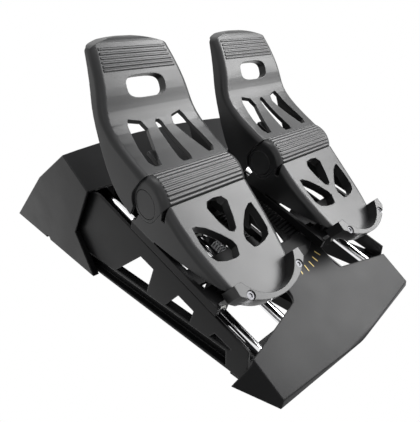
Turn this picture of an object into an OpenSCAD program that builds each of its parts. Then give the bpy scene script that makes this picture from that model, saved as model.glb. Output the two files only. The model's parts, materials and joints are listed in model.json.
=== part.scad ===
// Rudder pedal set: two pedals on twin sliding rails, each with a toe plate that tips as a brake.
// Millimetres. X to the right, Y towards the rear, Z up, Z = 0 on the floor.
// The origin is on the floor, at the middle of the footprint.

/* [Rails and frame] */
// Slope of the rails against the floor
rail_slope = 19; // [18:0.5:20]
// Diameter of a rail
rail_d = 10; // [8:0.5:11]
// Height of the rail axes over the floor, at the rails' reference point
rail_height = 47.7; // [46:0.5:50]
// Distance of the rails' reference point in front of the origin
rail_ref_fwd = 120; // [115:1:125]
// How far the rails' front ends lie behind the front point of the front plate
rail_front_set = 42.8; // [41:0.2:44]
// Length of a rail behind its reference point
rail_rear_len = 200; // [190:1:204]
// Distance between the two rails of one pedal
rail_pair_gap = 42.6; // [40:0.2:46]
// Distance from an outer rail's axis to the outer face of the side frame beside it
frame_side_gap = 19.7; // [18.5:0.1:21]
// Thickness of a side frame's web
frame_web_t = 2.5; // [2:0.1:4]
// Width of a side frame's bottom beam
frame_flange_w = 9; // [7:0.5:10]
// Thickness of the flanges of a side frame's bottom beam
frame_flange_t = 2.7; // [2:0.1:3.5]
// Height of the bottom beam of a side frame over the floor
frame_beam_h = 23.7; // [20:0.5:24]
// Height of the side frame's top edge over the rail axes
frame_top_rise = 17.3; // [15:0.5:19]
// How far the side frames' front ends lie behind the front point of the front plate
frame_front_set = 42; // [41:0.5:46]
// How far the side frames' rear ends, inside the housing, lie in front of the rails' rear ends
frame_rear_set = 7.1; // [5:0.1:12]
// Height of the rubber feet
foot_h = 2; // [1.5:0.5:3]
// Diameter of the rubber feet
foot_d = 12; // [8:1:12]

/* [Front plate] */
// Slope of the front plate
plate_slope = 34.5; // [33:0.5:36]
// Height over the rail axes at which the plate's plane passes the open point of the deck's notch
plate_meet_rise = 26.05; // [25:0.05:27]
// Half width of the plate at its front corners
plate_half_w = 114.3; // [110:0.5:116]
// How far the front corners lie behind the front point
plate_sweep = 8.3; // [6:0.5:10]
// Height of the plate's upright front edge
plate_lip_h = 4; // [3:0.5:6]
// Setback of the sloped face from the front edge at the floor
plate_lip_set = 3; // [2:0.5:4]
// Wall thickness of the front plate
plate_wall = 2.5; // [2:0.1:3]
// How far the back edge at the outer corners lies behind the front point
plate_side_depth = 38.7; // [36:0.5:40]
// How far the back edge beside the tongue lies behind the front point
plate_mid_depth = 53.3; // [50:0.5:56]
// Half width of the tongue
tongue_half_w = 37.5; // [36:0.5:40]
// How far the tongue reaches behind the front point
tongue_depth = 84; // [80:1:88]
// How far the plate's floor corners reach out and back past the top corners
plate_corner_reach = 12.5; // [11:0.5:14]
// Lean of the plate's slanted side faces
plate_side_lean = 18; // [16:1:22]
// Turn of the plate's slanted side faces
plate_side_turn = 15.5; // [14:0.5:17]
// Radius of the fillets beside the tongue
tongue_fillet_r = 8; // [5:0.5:10]
// Number of scale marks
mark_count = 7; // [3:2:9]
// Angle between two scale marks
mark_step = 9; // [8:0.2:10]
// Length of a scale mark
mark_len = 7; // [5:0.5:8]
// Width of a scale mark
mark_w = 0.9; // [0.6:0.1:1.2]
// Thickness of a scale mark
mark_t = 0.2; // [0.1:0.05:0.4]

/* [Centre deck] */
// Radius of the round nose over the pivot
nose_r = 47; // [44:0.5:49]
// Thickness of the nose
nose_t = 2.5; // [2:0.1:2.8]
// Height of the deck's underside over the rail axes
deck_low = 23.2; // [22.8:0.2:23.6]
// Thickness of the deck
deck_t = 2.5; // [2:0.1:3]
// Half width of the deck
deck_half_w = 36; // [34:0.5:38]
// How far the open point of the deck's notch lies in front of the rails' reference point
notch_fwd = 32; // [30:0.5:34]
// Half angle of the notch
notch_angle = 17.8; // [15:0.2:20]
// Height of the deck ribs
deck_rib_h = 1.6; // [1:0.1:1.8]
// Width of a deck rib
deck_rib_w = 1.8; // [1.2:0.1:2.2]
// Spacing of the deck ribs
deck_rib_pitch = 4.3; // [4:0.1:5]
// Turn of the deck ribs towards the rear
deck_rib_turn = 6; // [4:0.5:8]
// Width of the spine under the deck
spine_w = 34; // [28:1:36]
// Height of the spine
spine_h = 12; // [10:0.5:14]

/* [Housing] */
// Distance from a side frame's outer face to the housing's side, at its front
house_side_gap = 8.5; // [7:0.1:10]
// Taper of the housing's side walls
house_taper = 1.8; // [1.5:0.1:2.2]
// Wall thickness of the housing
house_wall = 3; // [2.5:0.1:4]
// How far the housing's front edge at the floor lies in front of the rails' rear ends
house_toe_set = 48.1; // [45:0.5:51]
// How far the side notch lies in front of the rails' rear ends
house_notch_set = 16.4; // [14:0.2:20]
// Height of the side notch over the floor
house_notch_z = 45.5; // [42:0.5:48]
// How far the roof's front edge lies in front of the rails' rear ends
house_brow_set = 61.3; // [59:0.2:63]
// Drop of the roof's front edge below the crest
house_brow_drop = 32; // [30:0.5:34]
// Slope of the front face of the roof
house_roof_slope = 30.5; // [28:0.5:33]
// Height of the crest in the middle over the rails' rear ends
house_crest_rise = 28.7; // [27:0.5:32]
// Radius of the roof's arch across the width
house_arch_r = 980; // [900:10:1100]
// Slope of the arch towards the rear
house_arch_slope = 31; // [29:0.5:33]
// Slope of the rear face
house_rear_slope = 38.5; // [37:0.5:40]
// How far the housing's rear edge lies behind the rails' rear ends
house_rear_run = 177.9; // [173:1:181]
// Distance of the cable notch behind the origin
cable_notch_y = 142; // [130:1:150]
// Radius of the cable notch
cable_notch_r = 5; // [3:0.5:6]

/* [Carriages] */
// Distance between the middle planes of the two pedals
pedal_spacing = 150; // [149:0.5:152]
// Travel of a carriage to each side of its middle position
slide_travel = 35; // [25:1:36]
// Half width of a carriage
sled_half_w = 50; // [49:0.2:50.4]
// Thickness of a carriage's side bands
sled_band_t = 4; // [3:0.5:5]
// Height of a carriage's underside over the rail axes
sled_low = 30; // [29.5:0.5:31]
// Height of a carriage's top edge over the rail axes
sled_top = 38.7; // [38:0.1:39.4]
// Length of a carriage in front of the rails' reference point
sled_front = 49.5; // [48:0.5:51]
// Length of a carriage behind the rails' reference point
sled_rear = 65; // [63:0.5:66]
// Thickness of a carriage's cross bars
sled_bar_t = 4; // [3:0.5:5]
// Length of a rail bush
bush_len = 17; // [14:1:18]
// Wall thickness of a rail bush
bush_wall = 2; // [1.5:0.1:2.5]
// Running clearance between a bush and its rail, on the radius
bush_clear = 0.05; // [0.02:0.01:0.1]
// Side of the blocks that hold the bushes
bush_block = 20; // [18:0.5:20]
// Distance of the front bushes behind the carriage's front end
bush_set = 13; // [12:0.5:15]

/* [Rocker] */
// Distance of the rocker's pivot in front of the rails' reference point, along the rails
pivot_fwd = 12; // [10:0.5:14]
// Height of the rocker's underside below the rail axes
rocker_low = 18; // [17.5:0.5:19]
// Thickness of the rocker
rocker_t = 8; // [6:0.5:9]
// Radius of the rocker's hub
rocker_hub_r = 16; // [15:0.5:18]
// Radius of the pivot bolt
pivot_r = 6; // [5:0.5:7]
// Radius of a link pin
link_pin_r = 4; // [3.5:0.5:5]
// Clearance of a link pin in its slot
link_clear = 1.4; // [1.2:0.1:1.6]
// Swing of the rocker to each side
rocker_swing = 25; // [20:1:26]
// Radius of the wire of a centring spring
centre_wire_r = 0.8; // [0.6:0.1:1]
// Mean radius of a centring spring
centre_coil_r = 5; // [4:0.5:6]
// Number of curls of a centring spring
centre_curls = 12; // [8:1:14]

/* [Heel plates] */
// Height of the toe hinge over the floor
hinge_z = 129; // [128:0.5:130]
// Distance of the toe hinge in front of the origin
hinge_fwd = 94; // [93:0.5:95]
// How far the heel plate reaches in front of the hinge
heel_reach = 106; // [104:1:108]
// How far the heel plate drops below the hinge
heel_drop = 66; // [65:0.5:67]
// Half width of the heel surface at the hinge
heel_half_w = 43.3; // [42:0.2:43.6]
// Thickness of the pedal plates
plate_t = 4.5; // [3.5:0.5:5]
// Thickness of the pedal side walls
side_t = 3; // [2.5:0.1:3.5]
// Width of the rounded shoulders along the pedal edges
shoulder = 7; // [6:0.5:7.5]
// Gap between the heel plate's side wall and the carriage at the front end
heel_wedge_gap = 9.5; // [7:0.5:11]
// Radius of the heel plate's front edge
heel_front_r = 60; // [55:1:66]
// How far the heel plate's front end lies in front of its front corner
heel_stop_fwd = 28.9; // [27:0.1:30]
// Depth of the rims round the holes
hole_rim_depth = 10; // [8:0.5:11]
// Wall thickness of the rims round the holes
hole_rim_t = 2; // [1.5:0.1:2.5]
// Height of the heel stop over the heel plate
stop_h = 12; // [9:0.5:14]
// Radius of the heel stop's inner side
stop_inner_r = 36.7; // [35:0.5:39]
// Width of the heel stop's wall at its middle
stop_wall = 4; // [3:0.5:5]
// Half distance between the heel stop's screws
stop_screw_x = 31.5; // [30:0.5:33]
// Distance of the heel stop's screws in front of the heel plate's front corner
stop_screw_fwd = 16; // [15:0.5:17]

/* [Toe plates] */
// Rise of the toe plate over the hinge
toe_rise = 118.5; // [116:0.5:121]
// How far the toe plate leans back behind the hinge
toe_lean = 74; // [72:0.5:75]
// Half width of the toe surface
toe_half_w = 46.5; // [45.5:0.2:46.6]
// Radius of the rolled top edge
toe_roll_r = 12; // [10:0.5:14]
// Radius of the arch of the top edge, seen from the front
toe_arch_r = 120; // [100:5:140]
// Height of the arch over the line where the rolled edge starts
toe_arch_rise = 4.9; // [3:0.1:6]
// Radius of the top corners, seen from the front
toe_corner_r = 12; // [8:0.5:14]
// Largest brake angle
brake_angle = 12; // [6:1:12]
// Number of ribs at the top of the toe plate
toe_rib_count = 6; // [4:1:7]
// Number of ribs round the barrel
barrel_rib_count = 9; // [7:1:10]
// Radius of a rib's rounded crest
rib_r = 1.5; // [1.2:0.1:1.8]
// Height of a rib over its surface
rib_h = 0.7; // [0.4:0.1:1]
// Half width of the ribbed fields
rib_half_w = 39; // [36:0.5:41]

/* [Hinge] */
// Radius of the ribbed barrel
barrel_r = 26; // [25.6:0.1:26.2]
// Wall thickness of the barrel's skin
barrel_t = 4; // [3:0.5:4.5]
// Radius of the barrel's round cheeks
cheek_r = 16; // [15:0.5:16.5]
// Thickness of the cheeks
cheek_t = 6.3; // [5.5:0.1:6.5]
// Radius of the pivot caps
cap_r = 13.5; // [12:0.5:14]
// Thickness of the pivot caps
cap_t = 2; // [1.5:0.1:2.5]
// Radius of the hinge pin
pin_r = 4; // [3.5:0.5:5]
// Thickness of the ears that carry the hinge pin
ear_t = 7; // [5:0.5:8]
// Radius of the ears
ear_r = 11; // [9:0.5:12]
// Moving gap between the barrel and the heel plate
barrel_gap = 0.35; // [0.3:0.05:0.6]
// Radius of the wire of a toe spring
toe_wire_r = 1.2; // [1:0.1:1.4]
// Number of curls of a toe spring
toe_curls = 6; // [4:1:7]

/* [Hidden] */
$fn = 48;

// Overrun of cuts past the faces that they open
over = 1;
// Clearance of a seated or sliding neighbour
seat_gap = 0.3;
// Share of a step that is used to find the direction of a curve
curve_step_share = 0.001;
// How far the hollows run past the ends of the pedal plates, as a share of their curves
hollow_past_share = 0.03;
// Steps along a pedal plate and along a rounded shoulder
plate_steps = 14;
shoulder_steps = 5;
// Rear ends of the rails, and the housing's outline from them
rail_end_y = rail_rear_len * cos(rail_slope) - rail_ref_fwd;
rail_end_z = rail_rear_len * sin(rail_slope) + rail_height;
house_toe_y = rail_end_y - house_toe_set;
house_notch_y = rail_end_y - house_notch_set;
house_brow_y = rail_end_y - house_brow_set;
house_rear_y = rail_end_y + house_rear_run;
house_crest_z = rail_end_z + house_crest_rise;
house_brow_z = house_crest_z - house_brow_drop;
// The front plate's front point: its plane runs down to there from where it meets the deck
meet_fwd = rail_ref_fwd + notch_fwd * cos(rail_slope) + plate_meet_rise * sin(rail_slope);
meet_z = rail_height - notch_fwd * sin(rail_slope) + plate_meet_rise * cos(rail_slope);
plate_apex_fwd = meet_fwd + (meet_z - plate_lip_h) / tan(plate_slope) + plate_lip_set;
// Ends of the side frames, and the rails' length in front of their reference point
frame_front_fwd = plate_apex_fwd - frame_front_set;
frame_rear_len = rail_end_y - frame_rear_set;
rail_front_len = (plate_apex_fwd - rail_front_set - rail_ref_fwd) / cos(rail_slope);
// A size that is larger than the whole part
far = plate_apex_fwd + house_rear_y;

// Places of the pedals and rails
pedal_x = pedal_spacing / 2;
rail_r = rail_d / 2;
rail_half_gap = rail_pair_gap / 2;
rail_xs = [-pedal_x - rail_half_gap, -pedal_x + rail_half_gap, pedal_x - rail_half_gap,
    pedal_x + rail_half_gap];
frame_half_w = pedal_x + rail_half_gap + frame_side_gap;
house_half_w = frame_half_w + house_side_gap;

// Half widths of the pedals over their side walls
heel_out_w = heel_half_w + shoulder;
toe_out_w = toe_half_w + shoulder;

// Curves of the pedal plates from the hinge: control points as shares of reach and rise.
// The heel curve runs up to the hinge, the toe curve away from it.
heel_curve_shares = [[-1, -1], [-0.736, -0.606], [-0.49, -0.341], [-0.248, 0.07]];
heel_width_shares = [0.55, 0.9, 1, 1];
toe_curve_shares = [[-0.03, 0.213], [1.07, 0.602], [0.42, 0.521], [1.046, 1.031]];
toe_width_shares = [0.98, 1.05, 0.98, 0.77];
toe_back_shares = [[0.242, -0.149], [0.719, 0.074], [0.6, 0.09], [1.043, 0.827]];
// Where the toe plate's roll starts, and where its side walls end, as shares of their curves
toe_roll_share = 0.995;
toe_loft_share = 1.16;
toe_back_share = 1.07;
// Where the toe plate is as wide as its rounded top corners
toe_corner_share = 0.93;
// Angles about the hinge at which the barrel's skin starts and ends
barrel_from = 95;
barrel_to = 170;
// Lowest angle of the toe plate's side walls about the hinge, and that of the heel plate's rear corner
toe_tip_angle = -38;
heel_rear_angle = -45;
// Angle left free past the ends of a turn
clear_angle = 1;
// Angles at which the tangents from the barrel's edges touch the cheeks
cheek_from = barrel_to + acos(cheek_r / barrel_r);
cheek_to = barrel_from + 360 - acos(cheek_r / barrel_r);
// Half widths of the barrel's cheeks and of its hollow, and the place of the ears
cheek_out = heel_out_w;
cheek_in = cheek_out - cheek_t;
ear_x = cheek_in - barrel_t;
// Place of the screws that hold the heel plate, and their length from the carriage's underside
heel_boss_x = ear_x - ear_t / 2;
heel_screw_len = sled_top - sled_low + ear_t;
// Height of the hinge in the frame of the rails
hinge_drop_y = rail_ref_fwd - hinge_fwd;
hinge_rise_z = hinge_z - rail_height;
hinge_u = hinge_drop_y * cos(rail_slope) + hinge_rise_z * sin(rail_slope);
hinge_v = hinge_rise_z * cos(rail_slope) - hinge_drop_y * sin(rail_slope);

// Points of a cubic curve, the direction across it, and shares turned into sizes
function bezier(c, t) = pow(1 - t, 3) * c[0] + 3 * pow(1 - t, 2) * t * c[1] + 3 * (1 - t) * t * t * c[2]
    + pow(t, 3) * c[3];
function curve_dir(c, t) = let (d = bezier(c, t + curve_step_share) - bezier(c, t - curve_step_share))
    d / norm(d);
function across(d) = [-d[1], d[0]];
function sized(shares, w, h) = [for (s = shares) [s[0] * w, s[1] * h]];
function polar(r, a) = [r * cos(a), r * sin(a)];
function mirrored(pts) = [for (i = [len(pts) - 1 : -1 : 0]) [-pts[i][0], pts[i][1]]];
// Outline grown outwards by d; the points run counterclockwise
function grown(pts, d) = let (n = len(pts)) [for (i = [0 : n - 1])
    let (a = pts[(i + n - 1) % n], b = pts[i], c = pts[(i + 1) % n],
        p = (b - a) / norm(b - a), q = (c - b) / norm(c - b),
        m = [p[1] + q[1], -p[0] - q[0]])
    b + m * d / (1 + p * q)];
function turned(pts) = [for (i = [len(pts) - 1 : -1 : 0]) pts[i]];

heel_curve = sized(heel_curve_shares, heel_reach, heel_drop);
toe_curve = sized(toe_curve_shares, toe_lean, toe_rise);
toe_back = sized(toe_back_shares, toe_lean, toe_rise);
// Upper edge of the heel surface, and the slope of the heel plate from its front corner
heel_top = heel_curve[3];
heel_corner_share = 0.28;
heel_corner = bezier(heel_curve, heel_corner_share);
heel_slope = atan2(heel_top[1] - heel_corner[1], heel_top[0] - heel_corner[0]);
heel_len = norm(heel_top - heel_corner);

// Frames that the pieces are drawn in
module rail_frame() { translate([0, -rail_ref_fwd, rail_height]) rotate([rail_slope, 0, 0]) children(); }
module hinge_frame() { translate([0, -hinge_fwd, hinge_z]) children(); }
module heel_frame() { translate([0, heel_top[0], heel_top[1]]) rotate([heel_slope, 0, 0]) children(); }
module at_pedal(side) { translate([side * pedal_x, 0, 0]) children(); }
module both() { children(); mirror([1, 0, 0]) children(); }
// Prism across the width from x0 to x1, with its outline in the Y-Z plane
module across_x(x0, x1, pts) {
    translate([x0, 0, 0]) rotate([90, 0, 90]) linear_extrude(x1 - x0) polygon(pts);
}
module block(x0, x1, y0, y1, z0, z1) { translate([x0, y0, z0]) cube([x1 - x0, y1 - y0, z1 - z0]); }
module rod_x(r, x0, x1) { translate([x0, 0, 0]) rotate([0, 90, 0]) cylinder(r = r, h = x1 - x0); }

// Solid of a pedal plate: sections across the curve, with rounded shoulders and straight side walls.
// in_t and in_w shrink it into the hollow behind the plate.
function width_at(shares, t) = bezier(shares, t);
function section(p, n, ws, wo, sh, depth) = concat(
    [[-wo, p[0] - depth * n[0], p[1] - depth * n[1]]],
    [for (i = [0 : shoulder_steps]) let (a = 90 * i / shoulder_steps, s = sh * (1 - sin(a)))
        [-ws - (wo - ws) * cos(a), p[0] - s * n[0], p[1] - s * n[1]]],
    [for (i = [shoulder_steps : -1 : 0]) let (a = 90 * i / shoulder_steps, s = sh * (1 - sin(a)))
        [ws + (wo - ws) * cos(a), p[0] - s * n[0], p[1] - s * n[1]]],
    [[wo, p[0] - depth * n[0], p[1] - depth * n[1]]]);
module loft(curve, shares, w, t_end, in_t, in_w, depth) {
    // A hollow runs past both ends of its plate
    t_past = in_t > 0 ? hollow_past_share : 0;
    m = 2 * shoulder_steps + 4;
    rows = [for (i = [0 : plate_steps])
        let (t = -t_past + (t_end + 2 * t_past) * i / plate_steps, n = across(curve_dir(curve, t)),
            ws = w * width_at(shares, t))
        section(bezier(curve, t) - in_t * n, n, ws - in_w, ws + shoulder - in_w, shoulder, depth)];
    polyhedron(
        points = [for (r = rows) each r],
        faces = concat(
            [[for (j = [0 : m - 1]) j]],
            [[for (j = [m - 1 : -1 : 0]) plate_steps * m + j]],
            [for (i = [0 : plate_steps - 1], j = [0 : m - 1]) let (k = (j + 1) % m)
                [i * m + j, (i + 1) * m + j, (i + 1) * m + k]],
            [for (i = [0 : plate_steps - 1], j = [0 : m - 1]) let (k = (j + 1) % m)
                [i * m + j, (i + 1) * m + k, i * m + k]]));
}

// Outline of the barrel and its cheeks, grown by g
function cheek_outline(g) = concat(
    [for (a = [barrel_from : 5 : barrel_to]) polar(barrel_r + g, a)],
    [for (i = [0 : 24]) polar(cheek_r + g, cheek_from + (cheek_to - cheek_from) * i / 24)]);

// Holes of the heel plate: x as shares of its half width, y as shares of its length from the hinge
heel_mid_hole_shares = [[-0.28, -0.16], [-0.2, -0.09], [0, -0.075], [0.2, -0.09], [0.29, -0.16], [0.2, -0.36],
    [0.1, -0.5], [0, -0.53], [-0.1, -0.5], [-0.2, -0.36]];
heel_side_hole_shares = [[-0.84, -0.3], [-0.86, -0.48], [-0.83, -0.66], [-0.74, -0.74], [-0.56, -0.78],
    [-0.32, -0.8], [-0.22, -0.79], [-0.14, -0.68], [-0.17, -0.61], [-0.33, -0.49], [-0.56, -0.36],
    [-0.75, -0.3]];
// Slots of the toe plate: x as shares of its half width, and shares along the toe curve
toe_side_slot_shares = [[-0.64, 0.375], [-0.7, 0.31], [-0.79, 0.125], [-0.81, 0.05], [-0.74, 0.026],
    [-0.6, 0.026], [-0.32, 0.25], [-0.38, 0.335]];
toe_mid_slot_shares = [[-0.04, 0.32], [-0.08, 0.285], [-0.14, 0.035], [-0.11, 0.016], [0.11, 0.016],
    [0.14, 0.035], [0.08, 0.285], [0.04, 0.32]];
toe_slot_mid_share = 0.2;
hand_hole_share = 0.725;
hand_hole_half_w_share = 0.46;
hand_hole_half_h_share = 0.085;
hand_hole_power_share = 0.62;

function heel_hole(shares) = sized(shares, heel_half_w, heel_len);
function toe_local(p, t0) = (p - bezier(toe_curve, t0)) * curve_dir(toe_curve, t0);
function toe_slot(shares) = [for (s = shares)
    [s[0] * toe_half_w, toe_local(bezier(toe_curve, s[1]), toe_slot_mid_share)]];
function signed_power(v, p) = sign(v) * pow(abs(v), p);
hand_hole = [for (i = [0 : 31]) let (a = 360 * i / 32)
    [hand_hole_half_w_share * toe_half_w * signed_power(cos(a), hand_hole_power_share),
     hand_hole_half_h_share * toe_rise * signed_power(sin(a), hand_hole_power_share)]];

module toe_cut_frame(t0) {
    p = bezier(toe_curve, t0);
    d = curve_dir(toe_curve, t0);
    translate([0, p[0], p[1]]) rotate([atan2(d[1], d[0]), 0, 0]) children();
}
module both_ways(h) { translate([0, 0, -h]) linear_extrude(2 * h) children(); }

// Front plate: a shallow wedge with a central tongue, open below and behind
module plate_wedge(inset) {
    front = plate_apex_fwd - inset;
    low = inset > 0 ? -over : 0;
    drop = inset / cos(plate_slope);
    run = tongue_depth + over;
    intersection() {
        across_x(-far, far, [[-front, low], [-front + plate_lip_set, plate_lip_h - drop],
            [-front + plate_lip_set + run, plate_lip_h - drop + run * tan(plate_slope)],
            [-front + plate_lip_set + run, low]]);
        translate([0, 0, low]) linear_extrude(far)
            polygon([[0, -front], [far, -front + far * plate_sweep / plate_half_w], [far, far], [-far, far],
                [-far, -front + far * plate_sweep / plate_half_w]]);
        plate_sides(inset);
    }
}
module plate_sides(inset) {
    intersection_for (s = [0, 1]) mirror([s, 0, 0])
        translate([plate_half_w - inset, plate_sweep - plate_apex_fwd, 0])
            rotate([0, 0, -plate_side_turn]) rotate([0, -plate_side_lean, 0])
                translate([-2 * far, -far, -far]) cube([2 * far, 2 * far, 2 * far]);
}
module plate_plan() {
    back_side = plate_side_depth - plate_apex_fwd;
    back_mid = plate_mid_depth - plate_apex_fwd;
    back_tongue = tongue_depth - plate_apex_fwd;
    slant = atan2(back_mid - back_side, plate_half_w - tongue_half_w);
    // Centre of the fillet that touches the tongue's side and the slanted back edge
    fx = tongue_half_w + tongue_fillet_r;
    fy = back_mid - (fx - tongue_half_w) * tan(slant) + tongue_fillet_r / cos(slant);
    union() {
        polygon([[-tongue_half_w, back_tongue], [-tongue_half_w, back_mid], [-plate_half_w, back_side],
            [-plate_half_w - plate_corner_reach, back_side + plate_corner_reach],
            [-far, back_side + plate_corner_reach], [-far, -far], [far, -far],
            [far, back_side + plate_corner_reach],
            [plate_half_w + plate_corner_reach, back_side + plate_corner_reach], [plate_half_w, back_side],
            [tongue_half_w, back_mid], [tongue_half_w, back_tongue]]);
        both() difference() {
            polygon([[tongue_half_w - over, back_mid - over],
                [fx - tongue_fillet_r * sin(slant), fy - tongue_fillet_r],
                [fx - tongue_fillet_r * sin(slant), fy - tongue_fillet_r * cos(slant)],
                [tongue_half_w, fy], [tongue_half_w - over, fy]]);
            translate([fx, fy]) circle(r = tongue_fillet_r);
        }
    }
}
module front_plate() {
    color([0.16, 0.16, 0.17]) difference() {
        intersection() {
            plate_wedge(0);
            linear_extrude(far) plate_plan();
        }
        plate_wedge(plate_wall);
    }
}

// Scale marks on the tongue, set radially about the rocker's pivot
mark_centre = pivot_fwd * cos(rail_slope) + rail_ref_fwd;
mark_plane_y = plate_apex_fwd - plate_lip_set;
module on_plate() {
    translate([0, -mark_plane_y, plate_lip_h]) rotate([plate_slope, 0, 0]) children();
}
mark_centre_s = (mark_plane_y - mark_centre) / cos(plate_slope);
mark_outer_r = nose_r + mark_len + mark_len;
module scale_marks() {
    color([0.72, 0.58, 0.3]) on_plate() translate([0, mark_centre_s, 0])
        for (i = [0 : mark_count - 1]) rotate([0, 0, (i - (mark_count - 1) / 2) * mark_step])
            block(-mark_w / 2, mark_w / 2, -mark_outer_r, -mark_outer_r + mark_len, 0, mark_t);
}

// Side frames: a web with truss openings, thin at its top edge, on a channel along the floor
hole1_shares = [[0.722, 1.04], [0.535, 2.63], [0.46, 2.39], [0.513, 1.02]];
hole2_shares = [[0.4, 1.02], [0.323, 1.92], [0.2445, 1.66], [0.266, 1.02]];
hole3_shares = [[0.168, 1.02], [0.143, 1.32], [0.0695, 1.1], [0.081, 1.02]];
function frame_hole(shares) = [for (s = shares)
    [s[0] * (frame_front_fwd + house_notch_y) - frame_front_fwd, s[1] * frame_beam_h]];
module side_frame() {
    t = tan(rail_slope);
    top0 = rail_height + frame_top_rise;
    z_at_front = top0 + (rail_ref_fwd - frame_front_fwd) * t;
    z_at_rear = house_brow_z - house_wall;
    y_at_rear = (z_at_rear - top0) / t - rail_ref_fwd;
    outline = [[-frame_front_fwd, foot_h], [frame_rear_len, foot_h], [frame_rear_len, z_at_rear],
        [y_at_rear, z_at_rear], [-frame_front_fwd, z_at_front]];
    inner = [[-frame_front_fwd - over, frame_beam_h], [frame_rear_len + over, frame_beam_h],
        [frame_rear_len + over, z_at_rear + over], [-frame_front_fwd - over, z_at_rear + over]];
    channel = [[-frame_front_fwd + frame_beam_h, foot_h + frame_flange_t],
        [frame_rear_len + over, foot_h + frame_flange_t],
        [frame_rear_len + over, frame_beam_h - frame_flange_t],
        [-frame_front_fwd + frame_beam_h, frame_beam_h - frame_flange_t]];
    x_out = frame_half_w;
    x_in = frame_half_w - frame_flange_w;
    difference() {
        across_x(x_in, x_out, outline);
        across_x(x_in - over, x_out - frame_web_t, inner);
        across_x(x_out - frame_flange_w + frame_web_t, x_out + over, channel);
        for (h = [hole1_shares, hole2_shares, hole3_shares])
            across_x(x_in - over, x_out + over, frame_hole(h));
        below_plate();
    }
}
// Everything above the inner face of the front plate, which the frame's front end is cut to
module below_plate() {
    difference() {
        block(-far, far, -far, -plate_apex_fwd + tongue_depth, -over, far);
        plate_wedge_core();
        block(-far, far, -plate_apex_fwd + plate_side_depth - plate_wall, far, -2 * over, 2 * far);
    }
}
module plate_wedge_core() { plate_wedge(plate_wall + seat_gap); }
module side_frame_left() { color([0.09, 0.09, 0.1]) mirror([1, 0, 0]) side_frame(); }
module side_frame_right() { color([0.09, 0.09, 0.1]) side_frame(); }

// Centre spine on the floor, with the rocker's post and the deck's rear post
post_r = 11;
deck_post_u = 58;
// Height and half width of the rudder sensor that stands under the rocker
sensor_h = 6;
sensor_half_w = 4;
module centre_spine() {
    spine_from = -plate_apex_fwd + 2 * rail_d;
    color([0.1, 0.1, 0.11]) union() {
        difference() {
            block(-spine_w / 2, spine_w / 2, spine_from, frame_rear_len, foot_h, foot_h + spine_h);
            block(-spine_w / 2 + house_wall, spine_w / 2 - house_wall, spine_from + house_wall,
                frame_rear_len - house_wall, -over, foot_h + spine_h - house_wall);
            below_plate();
        }
        difference() {
            intersection() {
                rail_frame() union() {
                    translate([0, -pivot_fwd, -far]) cylinder(r = post_r, h = far - rocker_low - seat_gap);
                    block(-post_r, post_r, deck_post_u - post_r, deck_post_u, -far, deck_low);
                }
                block(-far, far, -far, far, foot_h + spine_h - over, far);
            }
            rail_frame() translate([0, -pivot_fwd, -rail_height]) cylinder(r = pivot_r, h = rail_height);
        }
    }
}
module rocker_pivot_bolt() {
    bolt_low = rocker_low + spine_h;
    color([0.6, 0.6, 0.62]) rail_frame() translate([0, -pivot_fwd, 0]) union() {
        translate([0, 0, -bolt_low]) cylinder(r = pivot_r, h = bolt_low - rocker_low + rocker_t + seat_gap);
        translate([0, 0, rocker_t + seat_gap - rocker_low])
            cylinder(r = pivot_r + 2 * bush_wall, h = screw_head_h * 2);
    }
}

// Centre deck: a round nose over the pivot and two ribbed arms with an open notch between them
deck_rear_u = deck_post_u + over;
notch_half_w = (deck_rear_u + notch_fwd - deck_half_w) * tan(notch_angle);
module deck_plan() {
    difference() {
        polygon([[-deck_half_w, deck_rear_u], [-deck_half_w, -notch_fwd], [deck_half_w, -notch_fwd],
            [deck_half_w, deck_rear_u]]);
        polygon([[0, -notch_fwd], [notch_half_w, deck_rear_u - deck_half_w],
            [-notch_half_w, deck_rear_u - deck_half_w]]);
    }
}
module centre_deck() {
    rib_count = floor((deck_rear_u + notch_fwd - 2 * post_r) / deck_rib_pitch);
    plate_end = (tongue_depth - plate_lip_set) / cos(plate_slope) + seat_gap;
    color([0.07, 0.07, 0.08]) union() {
        rail_frame() translate([0, 0, deck_low]) linear_extrude(deck_t) deck_plan();
        rail_frame() translate([0, 0, deck_low + deck_t]) intersection() {
            linear_extrude(deck_rib_h) deck_plan();
            both() for (i = [1 : rib_count]) translate([post_r + over, i * deck_rib_pitch - notch_fwd, 0])
                rotate([0, 0, deck_rib_turn]) block(0, deck_half_w, 0, deck_rib_w, 0, deck_rib_h);
        }
        // The nose lies on the tongue, dips towards the front and ends level with the deck's ribs
        difference() {
            on_plate() translate([0, mark_centre_s, -2 * nose_t]) cylinder(r = nose_r, h = 3 * nose_t);
            on_plate() block(-far, far, -far, plate_end, -far, 0);
            block(-far, far, -rail_ref_fwd - notch_fwd * cos(rail_slope), far, 0, far);
            both() block(deck_half_w, far, -far, far, 0, far);
            rail_frame() block(-far, far, -far, far, deck_low + deck_t + deck_rib_h, far);
        }
    }
}

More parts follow.
